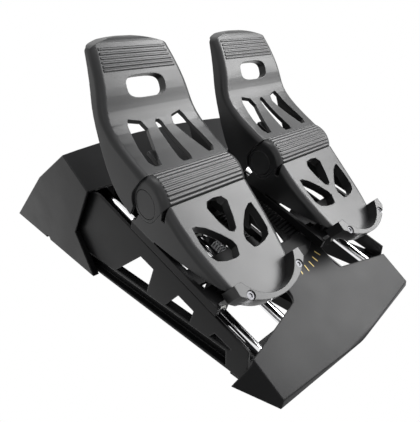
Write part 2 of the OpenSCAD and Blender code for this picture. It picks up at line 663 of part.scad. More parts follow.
// Housing: side walls, arched roof and rear face, open to the front where the rails enter
function house_profile(inset) =
    let (rs = tan(house_rear_slope), fs = tan(house_roof_slope),
        rear = house_rear_y - inset / sin(house_rear_slope),
        lift = inset / cos(house_roof_slope),
        peak = (rear * rs - house_brow_z + lift + house_brow_y * fs) / (fs + rs))
    inset > 0
        ? [[house_toe_y + 2 * inset, -over], [house_notch_y + 2 * inset, house_notch_z],
            [house_notch_y - over, house_notch_z],
            [-house_brow_y, house_brow_z - lift - 2 * house_brow_y * fs],
            [peak, (rear - peak) * rs], [rear + over / rs, -over]]
        : [[house_toe_y, 0], [house_notch_y, house_notch_z], [house_brow_y, house_brow_z],
            [peak, (rear - peak) * rs], [rear, 0]];
module house_body(inset) {
    half = house_half_w - inset;
    back = half - house_rear_y * tan(house_taper);
    crest_y = house_brow_y + (house_crest_z - house_brow_z) / tan(house_roof_slope);
    intersection() {
        across_x(-far, far, house_profile(inset));
        translate([0, 0, -2 * over]) linear_extrude(far)
            polygon([[-half, 0], [half, 0], [back, house_rear_y], [-back, house_rear_y]]);
        translate([0, crest_y, house_crest_z]) rotate([-house_arch_slope, 0, 0])
            translate([0, -far, -house_arch_r]) rotate([-90, 0, 0])
                cylinder(r = house_arch_r - inset, h = 2 * far, $fn = 180);
    }
}
module rear_housing() {
    mouth_in = frame_half_w + seat_gap;
    notch_x = house_half_w - cable_notch_y * tan(house_taper);
    color([0.08, 0.08, 0.09]) difference() {
        house_body(0);
        house_body(house_wall);
        block(-mouth_in, mouth_in, -far, house_notch_y + 3 * house_wall, -over, house_notch_z + over);
        for (s = [-1, 1]) translate([s * notch_x, cable_notch_y, 0]) rotate([0, 90, 0])
            translate([0, 0, -2 * house_wall]) cylinder(r = cable_notch_r, h = 4 * house_wall);
    }
}
module housing_floor() {
    half = house_half_w - house_wall - seat_gap;
    front = frame_rear_len + seat_gap;
    rear = house_rear_y - (house_wall + foot_h) / tan(house_rear_slope) - house_wall - house_wall;
    color([0.08, 0.08, 0.09]) translate([0, 0, foot_h]) linear_extrude(house_wall)
        polygon([[-half + front * tan(house_taper), front], [half - front * tan(house_taper), front],
            [half - rear * tan(house_taper), rear], [-half + rear * tan(house_taper), rear]]);
}

// Rails and what holds their ends
module rail(x) {
    color([0.82, 0.83, 0.85]) rail_frame() translate([x, -rail_front_len, 0]) rotate([-90, 0, 0])
        cylinder(r = rail_r, h = rail_front_len + rail_rear_len);
}
module rail_left_outer() { rail(rail_xs[0]); }
module rail_left_inner() { rail(rail_xs[1]); }
module rail_right_inner() { rail(rail_xs[2]); }
module rail_right_outer() { rail(rail_xs[3]); }
module all_rails(r) {
    rail_frame() for (x = rail_xs) translate([x, -rail_front_len, 0]) rotate([-90, 0, 0])
        cylinder(r = r, h = rail_front_len + rail_rear_len);
}
module rail_sockets_front() {
    color([0.1, 0.1, 0.11]) difference() {
        both() rail_frame() block(spine_w / 2 + seat_gap, frame_half_w - frame_flange_w,
            -rail_front_len - over, -rail_front_len + rail_d, -rail_d, 0);
        all_rails(rail_r);
        below_plate();
    }
}
socket_len = rail_d + rail_r;
module rail_sockets_rear() {
    leg_y = (rail_rear_len - socket_len) * cos(rail_slope) - rail_ref_fwd;
    color([0.1, 0.1, 0.11]) difference() {
        union() {
            rail_frame() block(-frame_half_w + frame_web_t, frame_half_w - frame_web_t,
                rail_rear_len - socket_len, rail_rear_len, -rail_d, rail_d);
            for (s = [-1, 0, 1]) translate([s * pedal_x, 0, 0]) difference() {
                block(-rail_d, rail_d, leg_y, leg_y + rail_d, foot_h + (s == 0 ? spine_h : house_wall),
                    rail_height + rail_rear_len * sin(rail_slope));
                rail_frame() block(-far, far, -far, far, 0, far);
            }
        }
        all_rails(rail_r);
    }
}

// Electronics
module rudder_sensor() {
    color([0.05, 0.2, 0.1]) rail_frame()
        translate([0, -pivot_fwd - post_r - seat_gap - sensor_half_w, -rocker_low])
            block(-sensor_half_w, sensor_half_w, -sensor_half_w, sensor_half_w, -sensor_h, -seat_gap);
}
board_half_w = 30;
board_half_len = 15;
board_t = 1.6;
board_lift = 4;
board_post_r = 2;
module control_board() {
    mid_y = (frame_rear_len + house_rear_y) / 2;
    color([0.05, 0.25, 0.12]) translate([0, mid_y, foot_h + house_wall]) union() {
        block(-board_half_w, board_half_w, -board_half_len, board_half_len, board_lift, board_lift + board_t);
        for (x = [-1, 1], y = [-1, 1])
            translate([x * (board_half_w - 2 * board_post_r), y * (board_half_len - 2 * board_post_r), 0])
                cylinder(r = board_post_r, h = board_lift);
    }
}

// Feet and screws of the base
foot_ys = [-frame_front_fwd + foot_d, frame_rear_len - foot_d];
module rubber_feet() {
    color([0.05, 0.05, 0.05]) {
        for (s = [-1, 1], y = foot_ys) translate([s * (frame_half_w - frame_flange_w / 2), y, 0])
            block(-frame_flange_w / 2, frame_flange_w / 2, -foot_d / 2, foot_d / 2, 0, foot_h);
        for (s = [-1, 1]) translate([s * pedal_x, house_rear_y - 2 * foot_d, 0])
            cylinder(r = foot_d / 2, h = foot_h);
    }
}
module screw_up(shank_r, head_r, head_h, length) {
    union() {
        cylinder(r = head_r, h = head_h);
        translate([0, 0, head_h]) cylinder(r = shank_r, h = length);
    }
}
screw_r = 2;
screw_head_r = 3.6;
screw_head_h = 2;
module housing_screws() {
    color([0.3, 0.3, 0.3]) for (s = [-1, 1], y = [frame_rear_len + 2 * foot_d, house_rear_y - 4 * foot_d])
        translate([s * (house_half_w - 2 * foot_d), y, foot_h - screw_head_h / 2])
            cylinder(r = screw_head_r, h = screw_head_h / 2);
}
module frame_screws() {
    color([0.3, 0.3, 0.3]) both() translate([frame_half_w, frame_rear_len - rail_r, rail_end_z - 2 * rail_d])
        rotate([0, 90, 0]) cylinder(r = screw_head_r, h = screw_head_h);
}

// Rocker under the rails, which makes one carriage slide back as the other slides forward
link_x = pedal_x;
link_far = pedal_x / cos(rocker_swing);
// Half width of the rocker's tabs and thickness of the anchors that the centring springs push on
tab_half_w = 5;
anchor_t = 5;
rocker_tab_x = post_r + centre_coil_r + tab_half_w + seat_gap;
arm_end_r = link_pin_r + link_clear + house_wall;
module rocker_arm() {
    color([0.2, 0.2, 0.21]) rail_frame() translate([0, -pivot_fwd, -rocker_low]) difference() {
        union() {
            cylinder(r = rocker_hub_r, h = rocker_t);
            block(-link_far, link_far, -arm_end_r, arm_end_r, 0, rocker_t);
            for (s = [-1, 1]) translate([s * link_far, 0, 0]) cylinder(r = arm_end_r, h = rocker_t);
            for (s = [-1, 1]) translate([s * rocker_tab_x, 0, 0])
                block(-tab_half_w, tab_half_w, 0, arm_end_r, -rocker_t - over, rocker_t);
        }
        translate([0, 0, -over]) cylinder(r = pivot_r + bush_wall, h = rocker_t + 2 * over);
        for (s = [-1, 1]) translate([0, 0, -over]) union() {
            block(min(s * link_x, s * link_far), max(s * link_x, s * link_far), -link_pin_r - link_clear,
                link_pin_r + link_clear, 0, rocker_t + 2 * over);
            translate([s * link_x, 0, 0]) cylinder(r = link_pin_r + link_clear, h = rocker_t + 2 * over);
            translate([s * link_far, 0, 0]) cylinder(r = link_pin_r + link_clear, h = rocker_t + 2 * over);
        }
    }
}
module rocker_bush() {
    color([0.75, 0.6, 0.3]) rail_frame() translate([0, -pivot_fwd, -rocker_low]) difference() {
        cylinder(r = pivot_r + bush_wall, h = rocker_t);
        translate([0, 0, -over]) cylinder(r = pivot_r + bush_clear, h = rocker_t + 2 * over);
    }
}

// Spring wire along Y by formula: curls about the axis, and at both ends an arc of one tube diameter
// that turns the tube along the axis, and then one tube diameter straight. Rows hold a middle and two
// directions across the tube.
curl_steps = 8;
turn_steps = 3;
tube_steps = 6;
function coil_row(a, mean_r, y, lead) = [[mean_r * cos(a), y, mean_r * sin(a)], [cos(a), 0, sin(a)],
    [sin(a) * sin(lead), cos(lead), -cos(a) * sin(lead)]];
// Row after turning to the angle b off the axis, from a coil's end at angle a; s is 1 behind the coil
function turn_row(a, mean_r, y, lead, arc_r, b, s) =
    let (h = [-sin(a), 0, cos(a)], run = arc_r * (cos(lead) - sin(b)), side = arc_r * (cos(b) - sin(lead)))
    [[mean_r * cos(a), y, mean_r * sin(a)] + s * (run * [0, 1, 0] + side * h), [cos(a), 0, sin(a)],
        sin(b) * [0, 1, 0] - cos(b) * h];
function moved_row(row, y) = [row[0] + [0, y, 0], row[1], row[2]];
module coil(mean_r, wire_r, curls, length) {
    end_len = 4 * wire_r;
    pitch = (length - 2 * end_len) / curls;
    lead = atan2(pitch, 2 * PI * mean_r);
    arc_r = 2 * wire_r;
    top_y = length - end_len;
    a1 = 360 * curls;
    echo(least_gap = pitch * cos(lead) - 2 * wire_r);
    bends = [for (k = [0 : turn_steps]) (90 - lead) * k / turn_steps];
    lower = [for (b = bends) turn_row(0, mean_r, end_len, lead, arc_r, b, -1)];
    upper = [for (k = [turn_steps : -1 : 0]) turn_row(a1, mean_r, top_y, lead, arc_r, bends[k], 1)];
    coils = [for (i = [1 : curls * curl_steps - 1])
        coil_row(360 * i / curl_steps, mean_r, end_len + pitch * i / curl_steps, lead)];
    rows = concat([moved_row(lower[0], -lower[0][0][1])], lower, coils, upper,
        [moved_row(upper[turn_steps], length - upper[turn_steps][0][1])]);
    n = len(rows) - 1;
    m = tube_steps;
    polyhedron(
        points = [for (r = rows) for (j = [0 : m - 1]) let (b = 360 * j / m)
            r[0] + wire_r * cos(b) * r[1] + wire_r * sin(b) * r[2]],
        faces = concat([[for (j = [0 : m - 1]) j]], [[for (j = [m - 1 : -1 : 0]) n * m + j]],
            [for (i = [0 : n - 1], j = [0 : m - 1]) let (k = (j + 1) % m)
                [i * m + j, (i + 1) * m + j, (i + 1) * m + k]],
            [for (i = [0 : n - 1], j = [0 : m - 1]) let (k = (j + 1) % m)
                [i * m + j, (i + 1) * m + k, i * m + k]]));
}
anchor_u = deck_post_u - post_r;
anchor_x = rocker_tab_x + centre_coil_r;
spring_from = arm_end_r + seat_gap - pivot_fwd;
module centring_spring(side) {
    color([0.6, 0.6, 0.62]) rail_frame()
        translate([side * rocker_tab_x, spring_from, -rocker_low - rocker_t / 2])
            coil(centre_coil_r, centre_wire_r, centre_curls, anchor_u - seat_gap - spring_from);
}
module centring_spring_left() { centring_spring(-1); }
module centring_spring_right() { centring_spring(1); }
module spring_anchors() {
    color([0.1, 0.1, 0.11]) for (s = [-1, 1]) rail_frame()
        block(min(s * post_r, s * anchor_x), max(s * post_r, s * anchor_x), anchor_u, anchor_u + anchor_t,
            -rocker_low - rocker_t - over, -rocker_low + over);
}

// Carriage: side bands, cross bars and the blocks that hold the rail bushes
bush_r = rail_r + bush_clear + bush_wall;
bar_us = [-sled_front + sled_band_t, sled_rear - sled_band_t - bush_len];
bush_us = [-sled_front + bush_set, bar_us[1]];
module carriage() {
    link_bar = link_pin_r + sled_band_t;
    difference() {
        union() {
            both() block(sled_half_w - sled_band_t, sled_half_w, -sled_front, sled_rear, sled_low, sled_top);
            for (u = bar_us) block(-sled_half_w, sled_half_w, u, u + bush_len, sled_low, sled_top);
            for (s = [-1, 1], u = bush_us) translate([s * rail_half_gap, u, 0])
                block(-bush_block / 2, bush_block / 2, 0, bush_len, -bush_r - bush_wall,
                    sled_low + sled_bar_t);
            block(-sled_half_w, sled_half_w, -pivot_fwd - link_bar - over, -pivot_fwd + link_bar + over,
                sled_low, sled_low + sled_bar_t);
            translate([0, -pivot_fwd, -rail_r]) cylinder(r = link_bar, h = sled_low + rail_r);
        }
        for (s = [-1, 1], u = bush_us) translate([s * rail_half_gap, u - over, 0]) rotate([-90, 0, 0])
            cylinder(r = bush_r, h = bush_len + 2 * over);
        translate([0, -pivot_fwd, -rail_r - over]) cylinder(r = link_pin_r, h = rail_r + sled_low + over);
        for (s = [-1, 1], u = bar_us) translate([s * heel_boss_x, u + bush_len / 2, sled_low - over])
            cylinder(r = screw_r, h = sled_top - sled_low + 2 * over);
    }
}
module rail_bushes() {
    for (s = [-1, 1], u = bush_us) translate([s * rail_half_gap, u, 0]) rotate([-90, 0, 0]) difference() {
        cylinder(r = bush_r, h = bush_len);
        translate([0, 0, -over]) cylinder(r = rail_r + bush_clear, h = bush_len + 2 * over);
    }
}
module link_pin() {
    translate([0, -pivot_fwd, -rocker_low]) cylinder(r = link_pin_r, h = rocker_low + sled_low);
}

// Heel plate: a curved plate with rounded shoulders, side walls down to the carriage, and hinge ears
module heel_region(inset) {
    // In the frame of the rails: behind, over the carriage and over the rising lower edge at the front
    seam_u = sled_rear / 2;
    rail_frame() across_x(-far, far, [[sled_rear - inset, sled_top],
        [sled_rear - inset - sled_band_t, far], [-far, far], [-far, sled_top],
        [-sled_front - 2 * shoulder, sled_top], [-sled_front, sled_top + heel_wedge_gap],
        [seam_u, sled_top + bush_wall], [seam_u, sled_top]]);
}
module heel_nose(inset) {
    heel_frame() union() {
        translate([0, heel_front_r - heel_len - heel_stop_fwd, -far])
            cylinder(r = heel_front_r - inset, h = 2 * far, $fn = 96);
        block(-far, far, -heel_len, 2 * far, -far, far);
    }
}
heel_depth = hinge_v - sled_top + barrel_r;
module heel_outer() {
    loft(heel_curve, heel_width_shares, heel_half_w, 1, 0, 0, heel_depth);
}
module heel_plate_body() {
    hv = [hinge_u, hinge_v];
    difference() {
        union() {
            difference() {
                heel_outer();
                loft(heel_curve, heel_width_shares, heel_half_w, 1, plate_t, side_t, 2 * heel_depth);
            }
            // Rims round the holes
            intersection() {
                loft(heel_curve, heel_width_shares, heel_half_w, 1, 0, 0, hole_rim_depth);
                heel_frame() both_ways(far) union() {
                    polygon(grown(heel_hole(heel_mid_hole_shares_ccw), hole_rim_t));
                    polygon(grown(heel_hole(heel_side_hole_shares), hole_rim_t));
                    polygon(grown(mirrored(heel_hole(heel_side_hole_shares)), hole_rim_t));
                }
            }
            // Side walls under the cheeks, back to the rear end
            both() across_x(heel_out_w - side_t, heel_out_w, heel_rear_outline());
            // Bosses at the front, for the screws from below
            intersection() {
                both() translate([0, hinge_fwd, -hinge_z]) rail_frame()
                    translate([heel_boss_x, bar_us[0] + bush_len / 2, sled_top])
                        cylinder(r = ear_t / 2, h = heel_depth);
                heel_outer();
            }
            // Ears for the hinge pin, and their webs
            both() across_x(ear_x - ear_t, ear_x, heel_ear_outline());
        }
        heel_frame() both_ways(far) union() {
            polygon(heel_hole(heel_mid_hole_shares_ccw));
            polygon(heel_hole(heel_side_hole_shares));
            polygon(mirrored(heel_hole(heel_side_hole_shares)));
        }
        // Room for the barrel, its cheeks and the toe plate's side walls
        across_x(-cheek_out - over, -cheek_in + barrel_gap, cheek_outline(barrel_gap));
        across_x(cheek_in - barrel_gap, cheek_out + over, cheek_outline(barrel_gap));
        across_x(-cheek_out - over, cheek_out + over, barrel_sweep());
        both() across_x(cheek_in - barrel_gap, cheek_out + over, toe_tip_sweep());
        rod_x(pin_r, -cheek_out, cheek_out);
        both() translate([0, hinge_fwd, -hinge_z]) rail_frame() for (u = bar_us)
            translate([heel_boss_x, u + bush_len / 2, sled_low]) cylinder(r = screw_r, h = heel_screw_len);
    }
}
heel_mid_hole_shares_ccw = turned(heel_mid_hole_shares);
skin_in = barrel_r - barrel_t;
function barrel_sweep() = concat(
    [for (a = [barrel_from - 30 : 5 : barrel_to + 30]) polar(barrel_r + barrel_gap, a)],
    [for (a = [barrel_to + 30 : -5 : barrel_from - 30]) polar(skin_in - barrel_gap, a)]);
toe_tip_r = norm(toe_back[0]) + over;
function toe_tip_sweep() = concat([[0, 0]],
    [for (a = [toe_tip_angle - brake_angle - clear_angle : 5 : toe_tip_angle + 60])
        polar(toe_tip_r + barrel_gap, a)]);
function heel_rear_outline() =
    let (d = curve_dir(heel_curve, 1), n = across(d), q = heel_top - shoulder * n - over * d)
    [q, q - heel_depth * n, [far, -far], [far, q[1]]];
function heel_ear_outline() = concat(
    [for (a = [-90 + rail_slope : 15 : 90 + rail_slope + 90]) polar(ear_r, a)],
    [for (t = ear_web_shares) bezier(heel_curve, t) - plate_t / 2 * across(curve_dir(heel_curve, t))],
    [[bezier(heel_curve, ear_web_shares[1])[0], -hinge_v], [ear_r, -hinge_v]]);
// Where the ears' webs meet the heel plate, as shares of its curve
ear_web_shares = [0.95, 0.8];
module heel_bound() {
    intersection() {
        heel_nose(0);
        translate([0, hinge_fwd, -hinge_z]) heel_region(0);
        across_x(-far, far, heel_side_bound());
    }
}
// Keeps what lies below the heel surface and below a line from the hinge to the rear corner
function heel_side_bound() = let (rc = polar(toe_tip_r, heel_rear_angle))
    [heel_top, polar(ear_r, barrel_to), polar(ear_r, 90), polar(ear_r, 0), rc, [rc[0] + far, rc[1] - far],
        [-far, -far], [-far, heel_top[1]]];
module heel_plate() {
    color([0.2, 0.2, 0.21]) hinge_frame() intersection() {
        heel_plate_body();
        heel_bound();
    }
}
module heel_plate_screws() {
    for (s = [-1, 1], u = bar_us) translate([s * heel_boss_x, u + bush_len / 2, sled_low - screw_head_h])
        screw_up(screw_r, screw_head_r, screw_head_h, heel_screw_len);
}

// Heel stop: a C-shaped rim on the front end of the heel plate, with two screws
stop_back = heel_len + shoulder / 2;
stop_half_w = heel_half_w * bezier(heel_width_shares, heel_corner_share) + shoulder;
module stop_plan() {
    difference() {
        intersection() {
            translate([0, heel_front_r - heel_len - heel_stop_fwd]) circle(r = heel_front_r, $fn = 96);
            polygon([[-stop_half_w, -far], [stop_half_w, -far], [stop_half_w, -stop_back],
                [-stop_half_w, -stop_back]]);
        }
        translate([0, stop_inner_r - heel_len - heel_stop_fwd + stop_wall])
            circle(r = stop_inner_r, $fn = 96);
    }
}
stop_screw_y = -heel_len - stop_screw_fwd;
module heel_stop() {
    color([0.17, 0.17, 0.18]) hinge_frame() difference() {
        heel_frame() translate([0, 0, -shoulder]) linear_extrude(stop_h + shoulder) stop_plan();
        heel_outer();
        heel_frame() for (s = [-1, 1]) translate([s * stop_screw_x, stop_screw_y, 0])
            cylinder(r = screw_r, h = far);
        heel_frame() for (s = [-1, 1]) translate([s * stop_screw_x, stop_screw_y, stop_h - screw_head_h])
            cylinder(r = screw_head_r + seat_gap, h = far);
    }
}
module heel_stop_screws() {
    color([0.35, 0.35, 0.36]) hinge_frame() heel_frame() for (s = [-1, 1])
        translate([s * stop_screw_x, stop_screw_y, 0]) union() {
            translate([0, 0, screw_head_h]) cylinder(r = screw_r, h = stop_h - 2 * screw_head_h);
            translate([0, 0, stop_h - screw_head_h]) cylinder(r = screw_head_r, h = screw_head_h / 2);
        }
}
module hinge_pin() {
    color([0.7, 0.7, 0.72]) hinge_frame() rod_x(pin_r, -cheek_out + cap_t, cheek_out - cap_t);
}
module brake_sensor() {
    color([0.05, 0.2, 0.1]) hinge_frame()
        block(ear_x - ear_t - pin_r, ear_x - ear_t, -pin_r, pin_r, -ear_r, -ear_r + pin_r);
}

// Toe plate: a curved plate with rounded shoulders, side walls and a rolled top edge
function toe_side_outline(inset) = let (d = curve_dir(toe_curve, toe_roll_share), n = across(d),
        r = toe_roll_r - inset, c = bezier(toe_curve, toe_roll_share) - toe_roll_r * n)
    concat(
        [for (i = [0 : 20]) let (t = toe_roll_share * i / 20)
            bezier(toe_curve, t) - inset * across(curve_dir(toe_curve, t))],
        [for (a = [15 : 15 : 90]) c + r * cos(a) * n + r * sin(a) * d],
        inset > 0 ? [[far, c[1] + r * d[1]], [far, -far], [0, -far]]
            : [for (i = [14 : -1 : 0]) bezier(toe_back, toe_back_share * i / 14)]);
toe_depth = norm(toe_back[0] - toe_curve[0]) + 2 * shoulder;
// Arched top edge with rounded corners, seen from the front
module toe_top(inset) {
    arch_z = bezier(toe_curve, toe_roll_share)[1] + toe_arch_rise - toe_arch_r;
    corner_x = toe_half_w * width_at(toe_width_shares, toe_corner_share) + shoulder - toe_corner_r;
    corner_a = acos(corner_x / (toe_arch_r - toe_corner_r));
    corner_z = arch_z + (toe_arch_r - toe_corner_r) * sin(corner_a);
    right = [for (i = [0 : 8]) [corner_x, corner_z] + polar(toe_corner_r - inset, corner_a * i / 8)];
    arch = [for (i = [1 : 23])
        [0, arch_z] + polar(toe_arch_r - inset, corner_a + (180 - 2 * corner_a) * i / 24)];
    translate([0, far, 0]) rotate([90, 0, 0]) linear_extrude(2 * far)
        polygon(concat([[far, -far]], right, arch, mirrored(right), [[-far, -far]]));
}
module toe_outer(depth) {
    intersection() {
        loft(toe_curve, toe_width_shares, toe_half_w, toe_loft_share, 0, 0, depth);
        across_x(-far, far, toe_side_outline(0));
        toe_top(0);
    }
}
module toe_holes(grow) {
    toe_cut_frame(toe_slot_mid_share) both_ways(2 * toe_depth) union() {
        polygon(grown(turned(toe_slot(toe_side_slot_shares)), grow));
        polygon(grown(mirrored(turned(toe_slot(toe_side_slot_shares))), grow));
        polygon(grown(turned(toe_slot(toe_mid_slot_shares)), grow));
    }
    toe_cut_frame(hand_hole_share) both_ways(toe_depth) polygon(grown(hand_hole, grow));
}
module toe_plate() {
    color([0.2, 0.2, 0.21]) hinge_frame() union() {
        difference() {
            union() {
                difference() {
                    toe_outer(toe_depth);
                    intersection() {
                        loft(toe_curve, toe_width_shares, toe_half_w, toe_loft_share, plate_t, side_t,
                            2 * toe_depth);
                        across_x(-far, far, toe_side_outline(plate_t));
                        toe_top(side_t);
                    }
                }
                intersection() {
                    toe_outer(hole_rim_depth);
                    toe_holes(hole_rim_t);
                }
            }
            toe_holes(0);
            across_x(-far, far, cheek_outline(seat_gap / 2));
            // The side walls end above the heel plate's rear corner
            both() across_x(cheek_in - over, cheek_out + shoulder,
                [[0, 0], polar(far, toe_tip_angle), [0, -far]]);
        }
        // Ribs at the top
        intersection() {
            toe_outer_ribs();
            across_x(-rib_half_w, rib_half_w, [[-far, -far], [far, -far], [far, far], [-far, far]]);
        }
    }
}
toe_rib_from_share = 0.857;
toe_rib_to_share = 0.968;
module toe_outer_ribs() {
    for (i = [0 : toe_rib_count - 1]) {
        t = toe_rib_from_share + (toe_rib_to_share - toe_rib_from_share) * i / (toe_rib_count - 1);
        p = bezier(toe_curve, t) + (rib_h - rib_r) * across(curve_dir(toe_curve, t));
        w = toe_half_w * width_at(toe_width_shares, t) - over;
        translate([0, p[0], p[1]]) rod_x(rib_r, -w, w);
    }
}

// Barrel: ribbed skin round the hinge, its two cheeks, and the lugs that carry the toe plate
module hinge_barrel() {
    skin_end = barrel_to + brake_angle + 2 * clear_angle;
    color([0.22, 0.22, 0.23]) hinge_frame() difference() {
        union() {
            difference() {
                intersection() {
                    across_x(-cheek_out, cheek_out, cheek_outline(0));
                    rotate([0, 90, 0]) rotate_extrude($fn = 96) polygon(concat(
                        [[0, -cheek_out], [cheek_r, -cheek_out]],
                        [for (i = [0 : shoulder_steps]) let (a = 90 * i / shoulder_steps)
                            [barrel_r - shoulder * (1 - sin(a)), -heel_half_w - shoulder * cos(a)]],
                        [for (i = [shoulder_steps : -1 : 0]) let (a = 90 * i / shoulder_steps)
                            [barrel_r - shoulder * (1 - sin(a)), heel_half_w + shoulder * cos(a)]],
                        [[cheek_r, cheek_out], [0, cheek_out]]));
                }
                rod_x(skin_in, -cheek_in, cheek_in);
                // Below the skin the middle is open
                across_x(-cheek_in, cheek_in, concat([for (i = [0 : 8])
                    polar(far, barrel_to + (barrel_from + 360 - barrel_to) * i / 8)], [[0, 0]]));
            }
            // Skin that stays under the heel plate's lip as the toe plate tips
            across_x(-cheek_in, cheek_in, concat(
                [for (a = [barrel_to - 5 : 2.5 : skin_end]) polar(barrel_r - seat_gap, a)],
                [for (a = [skin_end : -2.5 : barrel_to - 5]) polar(skin_in, a)]));
            for (i = [0 : barrel_rib_count - 1]) {
                a = barrel_from + (barrel_to - barrel_from) * (i + 0.5) / barrel_rib_count;
                p = polar(barrel_r + rib_h - rib_r, a);
                translate([0, p[0], p[1]]) rod_x(rib_r, -heel_half_w - seat_gap, heel_half_w + seat_gap);
            }
            for (s = [-1, 1]) translate([s * rail_half_gap, 0, 0]) across_x(-rail_r, rail_r, barrel_lug());
        }
        rod_x(pin_r + bush_clear, -cheek_out - over, cheek_out + over);
        for (s = [0, 1]) mirror([s, 0, 0]) rod_x(cap_r, cheek_out - cap_t, cheek_out + over);
    }
}
lug_share = 0.12;
// Angles past the skin's upper edge at which the lug's corners lie on the skin
lug_edge_turn = 2;
lug_foot_turn = 8;
lug_turn = 20;
function under_toe(t, g) = bezier(toe_curve, t) - g * across(curve_dir(toe_curve, t));
lug_a = under_toe(0, plate_t + seat_gap);
lug_b = under_toe(lug_share, plate_t + seat_gap);
lug_n = across((lug_b - lug_a) / norm(lug_b - lug_a));
function barrel_lug() = [polar(skin_in - seat_gap, barrel_from + lug_turn),
    polar(barrel_r - barrel_t / 2, barrel_from + lug_edge_turn), lug_a, lug_b, lug_b - barrel_t * lug_n,
    lug_a - barrel_t * lug_n, polar(skin_in - seat_gap, barrel_from + lug_foot_turn)];
module toe_screws() {
    p = (lug_a + 2 * lug_b) / 3 - (barrel_t + screw_head_h) * lug_n;
    color([0.35, 0.35, 0.36]) hinge_frame() for (s = [-1, 1]) translate([s * rail_half_gap, p[0], p[1]])
        rotate([atan2(-lug_n[0], lug_n[1]), 0, 0]) cylinder(r = screw_head_r, h = screw_head_h);
}
module pivot_caps() {
    color([0.2, 0.2, 0.21]) hinge_frame() both() rod_x(cap_r - seat_gap, cheek_out - cap_t, cheek_out);
}
module toe_magnet() {
    color([0.5, 0.5, 0.52]) hinge_frame() translate([0, pin_r * 3, 0])
        rod_x(screw_r, cheek_in - screw_head_h, cheek_in);
}
module toe_spring() {
    mean_r = pin_r + toe_wire_r + over;
    length = toe_curls * (2 * toe_wire_r + over) + 8 * toe_wire_r;
    color([0.6, 0.6, 0.62]) hinge_frame() translate([-length / 2, 0, 0]) rotate([0, 0, -90])
        coil(mean_r, toe_wire_r, toe_curls, length);
}

module left_carriage() { color([0.1, 0.1, 0.11]) at_pedal(-1) rail_frame() carriage(); }
module right_carriage() { color([0.1, 0.1, 0.11]) at_pedal(1) rail_frame() carriage(); }
module left_rail_bushes() { color([0.75, 0.75, 0.7]) at_pedal(-1) rail_frame() rail_bushes(); }
module right_rail_bushes() { color([0.75, 0.75, 0.7]) at_pedal(1) rail_frame() rail_bushes(); }
module left_link_pin() { color([0.7, 0.7, 0.72]) at_pedal(-1) rail_frame() link_pin(); }
module right_link_pin() { color([0.7, 0.7, 0.72]) at_pedal(1) rail_frame() link_pin(); }
module left_heel_plate() { at_pedal(-1) heel_plate(); }
module right_heel_plate() { at_pedal(1) heel_plate(); }
module left_heel_plate_screws() { color([0.35, 0.35, 0.36]) at_pedal(-1) rail_frame() heel_plate_screws(); }
module right_heel_plate_screws() { color([0.35, 0.35, 0.36]) at_pedal(1) rail_frame() heel_plate_screws(); }
module left_heel_stop() { at_pedal(-1) heel_stop(); }
module right_heel_stop() { at_pedal(1) heel_stop(); }
module left_heel_stop_screws() { at_pedal(-1) heel_stop_screws(); }
module right_heel_stop_screws() { at_pedal(1) heel_stop_screws(); }
module left_hinge_pin() { at_pedal(-1) hinge_pin(); }
module right_hinge_pin() { at_pedal(1) hinge_pin(); }
module left_brake_sensor() { at_pedal(-1) brake_sensor(); }
module right_brake_sensor() { at_pedal(1) brake_sensor(); }
module left_toe_plate() { at_pedal(-1) toe_plate(); }
module right_toe_plate() { at_pedal(1) toe_plate(); }
module left_hinge_barrel() { at_pedal(-1) hinge_barrel(); }
module right_hinge_barrel() { at_pedal(1) hinge_barrel(); }
module left_toe_screws() { at_pedal(-1) toe_screws(); }
module right_toe_screws() { at_pedal(1) toe_screws(); }
module left_pivot_caps() { at_pedal(-1) pivot_caps(); }
module right_pivot_caps() { at_pedal(1) pivot_caps(); }
module left_toe_magnet() { at_pedal(-1) toe_magnet(); }
module right_toe_magnet() { at_pedal(1) toe_magnet(); }
module left_toe_spring() { at_pedal(-1) toe_spring(); }
module right_toe_spring() { at_pedal(1) toe_spring(); }

front_plate();
scale_marks();
side_frame_left();
side_frame_right();
centre_spine();
centre_deck();
rear_housing();
housing_floor();
rail_left_outer();
rail_left_inner();
rail_right_inner();
rail_right_outer();
rail_sockets_front();
rail_sockets_rear();
rocker_pivot_bolt();
rudder_sensor();
control_board();
rubber_feet();
housing_screws();
frame_screws();
spring_anchors();
rocker_arm();
rocker_bush();
centring_spring_left();
centring_spring_right();
left_carriage();
left_rail_bushes();
left_link_pin();
left_heel_plate();
left_heel_plate_screws();
left_heel_stop();
left_heel_stop_screws();
left_hinge_pin();
left_brake_sensor();
left_toe_plate();
left_hinge_barrel();
left_toe_screws();
left_pivot_caps();
left_toe_magnet();
left_toe_spring();
right_carriage();
right_rail_bushes();
right_link_pin();
right_heel_plate();
right_heel_plate_screws();
right_heel_stop();
right_heel_stop_screws();
right_hinge_pin();
right_brake_sensor();
right_toe_plate();
right_hinge_barrel();
right_toe_screws();
right_pivot_caps();
right_toe_magnet();
right_toe_spring();
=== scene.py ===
"""Rudder pedals: finishes, rolled edges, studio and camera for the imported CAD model. Metres."""
import json
import math

